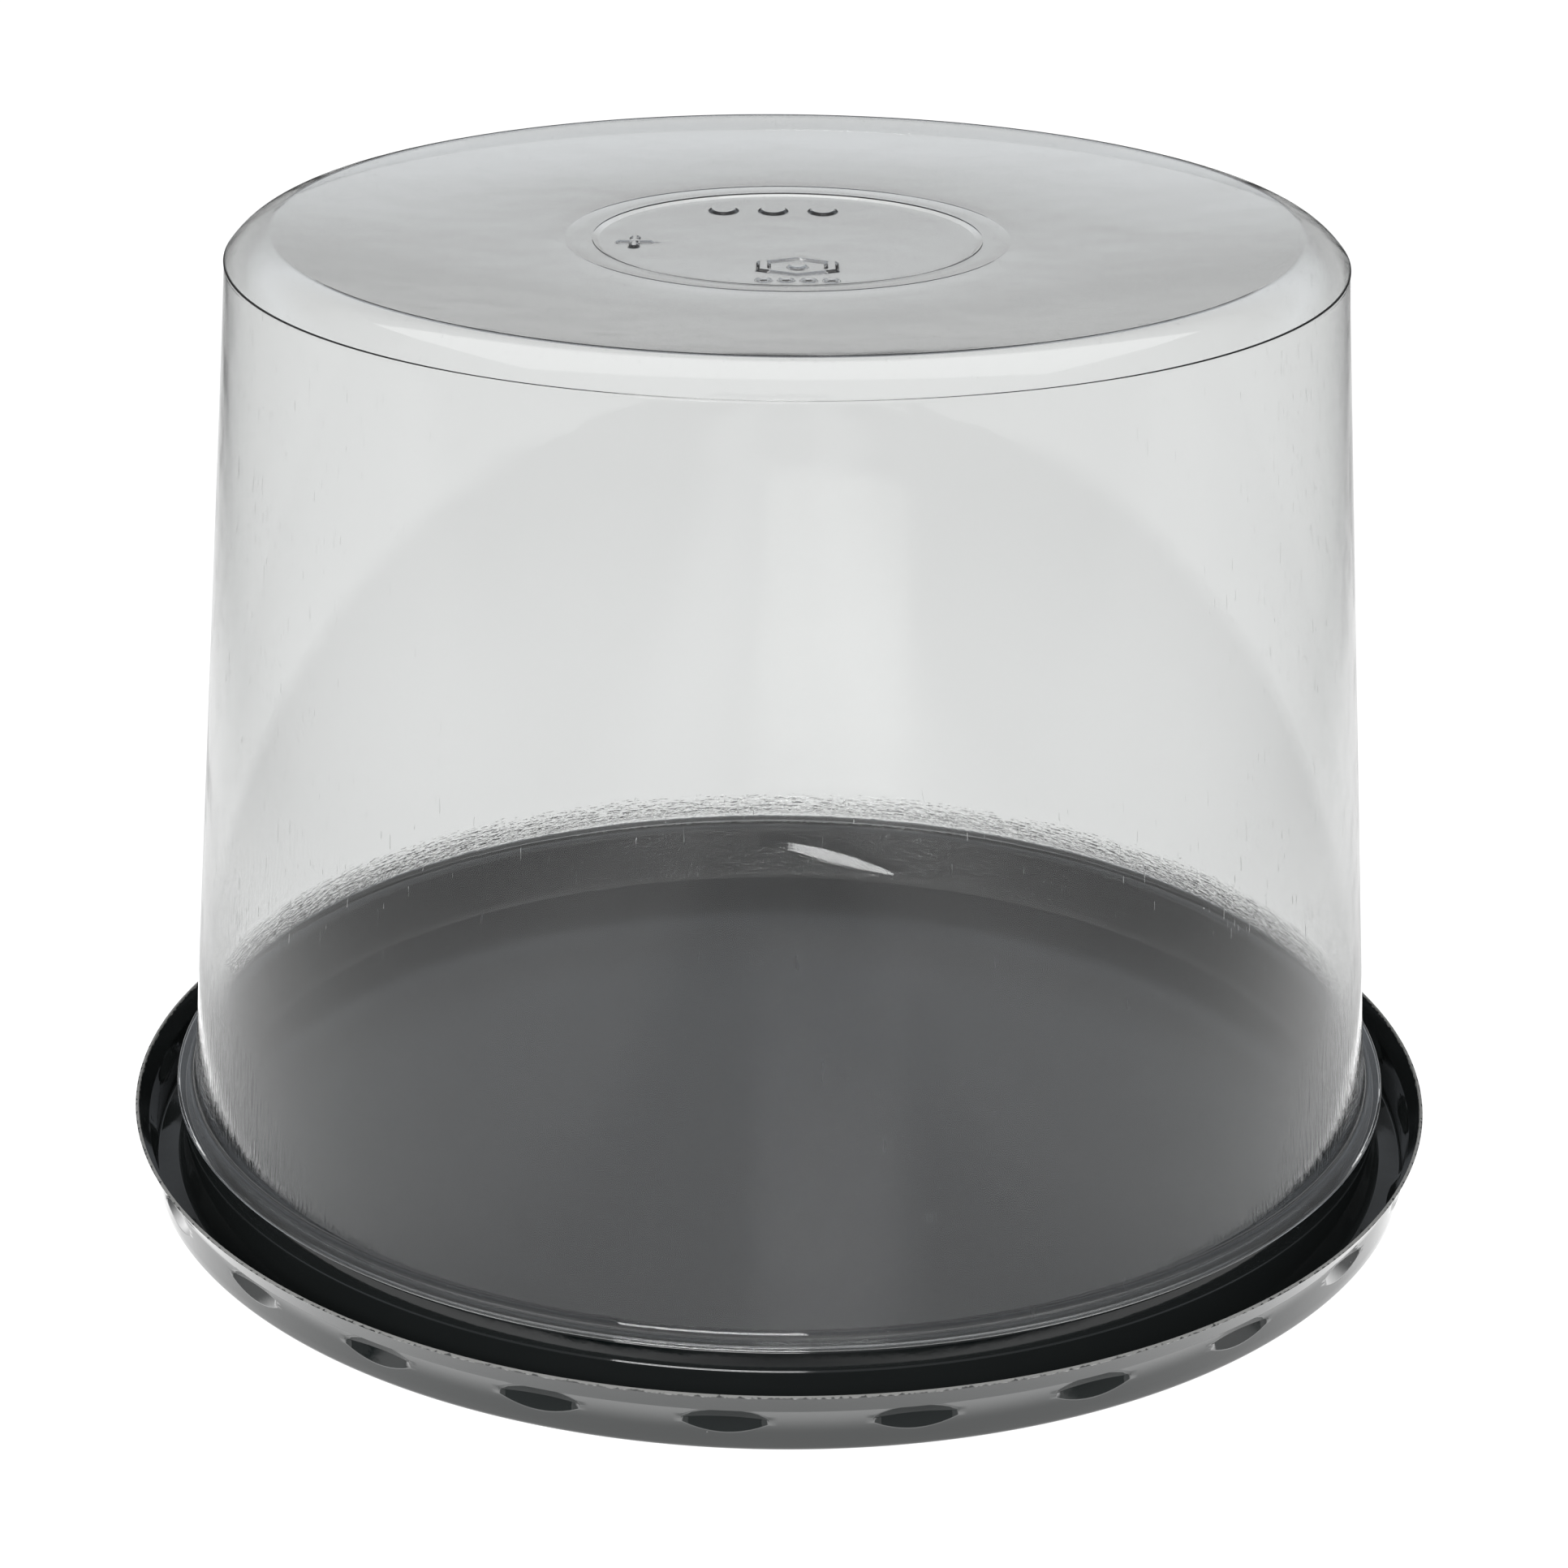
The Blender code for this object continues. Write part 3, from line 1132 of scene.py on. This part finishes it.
@dataclass
class Studio:
    """The pale floor, the soft lights, the surroundings and the camera.

    The camera's own rays see the floor and the surroundings white. The floor's fades are in lip
    radii: its own light as the sheets mirror it is RING times UNDER plus TABLE, FLANK and ASIDE, and
    as it shows through the dome it is CLOSE plus floor_through. ROOM is the surroundings' colours by
    the height that a ray rises to, and LOW and AHEAD bound the band that shows white through the dome.

    Args:
        lip_radius: The tray's radius in metres, which the distances follow.
    """

    lip_radius: float
    floor_size: float = 8.0
    floor_colour: Triple = (0.12, 0.12, 0.12)
    camera_back: float = 5.2024
    camera_height: float = 2.6632
    camera_tilt: float = 68.08
    camera_yaw: float = -0.0005
    camera_roll: float = 0.0097
    camera_lens: float = 84.38
    floor_through: float = 0.73
    room_through: tuple[float, float, float, float] = (0.76, 0.76, 0.76, 1.0)

    RING = Fade(1.04, 1.2, 3.5, 0.0)
    UNDER = Fade(1.01, 1.05, 0.27, 1.0)
    TABLE = Fade(-4.2, -2.2, 0.02, 0.40)
    FLANK = Fade(0.6, 1.3, 0.0, 0.35)
    ASIDE = Fade(1.7, 3.2, 0.0, -0.75)
    CLOSE = Fade(1.6, 3.4, 0.05, 0.0)
    ROOM = (
        (0.0, (0.05, 0.05, 0.05)),
        (0.2, (0.10, 0.10, 0.105)),
        (0.37, (0.44, 0.47, 0.51)),
        (0.53, (0.16, 0.16, 0.165)),
        (0.95, (0.55, 0.55, 0.55)),
    )
    LOW = Fade(0.08, 0.2, 1.0, 0.0)
    AHEAD = Fade(-0.9, -0.7, 0.0, 1.0)

    def floor(self) -> Object:
        """A floor that the camera sees white, with light of its own for the sheets to mirror."""
        shape = bmesh.new()
        bmesh.ops.create_grid(shape, x_segments=1, y_segments=1, size=self.floor_size / 2)
        bmesh.ops.translate(shape, verts=shape.verts, vec=(0, 0, -0.0002))
        mesh = bpy.data.meshes.new("floor")
        shape.to_mesh(mesh)
        shape.free()
        paint = Palette.of_material("pale_floor")
        _, radius, _ = paint.round_place()
        across, along, _ = paint.node("SeparateXYZ", Vector=paint.place()).outputs
        width = paint.maths("ABSOLUTE", across)
        unit = self.lip_radius
        ring = paint.times(paint.fade(radius, self.RING, unit), paint.fade(radius, self.UNDER, unit))
        sides = paint.maths("ADD", paint.fade(width, self.FLANK, unit), paint.fade(width, self.ASIDE, unit))
        table = paint.maths("ADD", paint.fade(along, self.TABLE, unit), sides)
        mirrored = paint.maths("ADD", ring, table)
        through = paint.maths("ADD", paint.fade(radius, self.CLOSE, unit), self.floor_through)
        path = paint.node("LightPath").outputs
        unseen = paint.node("Mix", Factor=path["Is Transmission Ray"], A=mirrored, B=through)
        mix = paint.node("Mix", Factor=path["Is Camera Ray"], A=unseen.outputs[0], B=1.0)
        material = paint.dressed(
            Base_Color=(*self.floor_colour, 1.0),
            Roughness=0.9,
            Emission_Color=(1, 1, 1, 1),
            Emission_Strength=mix.outputs[0],
        )
        mesh.materials.append(material)
        floor = bpy.data.objects.new("floor", mesh)
        bpy.context.scene.collection.objects.link(floor)
        floor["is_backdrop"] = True
        return floor

    def surroundings(self) -> None:
        """A dim room in bands, white where the camera looks straight at it or low through the dome."""
        world = bpy.data.worlds.new("surroundings")
        bpy.context.scene.world = world
        paint = Palette(world, "Background")
        way = paint.node("TexCoord").outputs["Generated"]
        _, back, height = paint.node("SeparateXYZ", Vector=way).outputs
        room = paint.node("ValToRGB", Fac=height)
        stops = room.color_ramp.elements
        stops[1].position = self.ROOM[-1][0]
        for place, _ in self.ROOM[1:-1]:
            stops.new(place)
        for stop, (_, colour) in zip(stops, self.ROOM):
            stop.color = (*colour, 1.0)
        low = paint.fade(height, self.LOW, curve="LINEAR")
        ahead = paint.fade(back, self.AHEAD, curve="LINEAR")
        path = paint.node("LightPath").outputs
        through = paint.times(paint.times(low, ahead), path["Is Transmission Ray"])
        unseen = paint.mixed(through, room.outputs["Color"], self.room_through)
        seen = paint.mixed(path["Is Camera Ray"], unseen, (1.0, 1.0, 1.0, 1.0))
        paint.dressed(Color=seen)

    def lamp(
        self, name: str, place: Vector, aim: Vector, size: tuple[float, float], power: float
    ) -> Object:
        """A rectangular soft light.

        Args:
            name: Its name.
            place: Where it stands.
            aim: What it points at.
            size: Its width and height.
            power: Its power in watts.

        Returns:
            The light.
        """
        data = bpy.data.lights.new(name, "AREA")
        data.shape = "RECTANGLE"
        data.size, data.size_y = size
        data.energy = power
        light = bpy.data.objects.new(name, data)
        light.location = place
        light.rotation_euler = (aim - place).to_track_quat("-Z", "Y").to_euler()
        bpy.context.scene.collection.objects.link(light)
        return light

    def lights(self) -> None:
        """A large soft light overhead, one low in front, and a fill that no surface mirrors."""
        self.lamp("overhead", Vector((0, 0.45, 1.5)), Vector((0, 0, 0)), (1.8, 1.1), 5.0)
        self.lamp("front", Vector((-0.24, -1.12, 0.68)), Vector((0, 0.1, 0)), (0.7, 0.32), 8.0)
        fill = self.lamp("fill", Vector((0, -0.9, 1.3)), Vector((0, 0, 0)), (1.2, 0.8), 10.5)
        fill.visible_glossy = False
        fill.visible_transmission = False

    def camera(self) -> Object:
        """The camera, in front of the object and looking down on it."""
        data = bpy.data.cameras.new("camera")
        data.lens = self.camera_lens
        data.clip_start = 0.05
        camera = bpy.data.objects.new("camera", data)
        place = Matrix.Translation(
            (0, -self.camera_back * self.lip_radius, self.camera_height * self.lip_radius)
        )
        turn = Matrix.Rotation(self.camera_yaw, 4, "Z")
        tilt = Matrix.Rotation(math.radians(self.camera_tilt), 4, "X")
        roll = Matrix.Rotation(self.camera_roll, 4, "Z")
        camera.matrix_world = place @ turn @ tilt @ roll
        bpy.context.scene.collection.objects.link(camera)
        bpy.context.scene.camera = camera
        return camera

    def build(self) -> None:
        """Sets up the whole studio."""
        self.floor()
        self.surroundings()
        self.lights()
        self.camera()
        view = bpy.context.scene.view_settings
        view.view_transform = "Standard"
        view.look = "None"
        LOG.info("studio: floor, lights and camera")


def main() -> None:
    """Loads the frame, builds the pieces and the studio, and sizes the studio by the imported frame."""
    logging.basicConfig(level=logging.INFO, format="%(name)s: %(message)s")
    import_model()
    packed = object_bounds()
    Tray().build()
    Dome().build()
    Studio(lip_radius=packed[1].x).build()


if __name__ == "__main__":
    main()
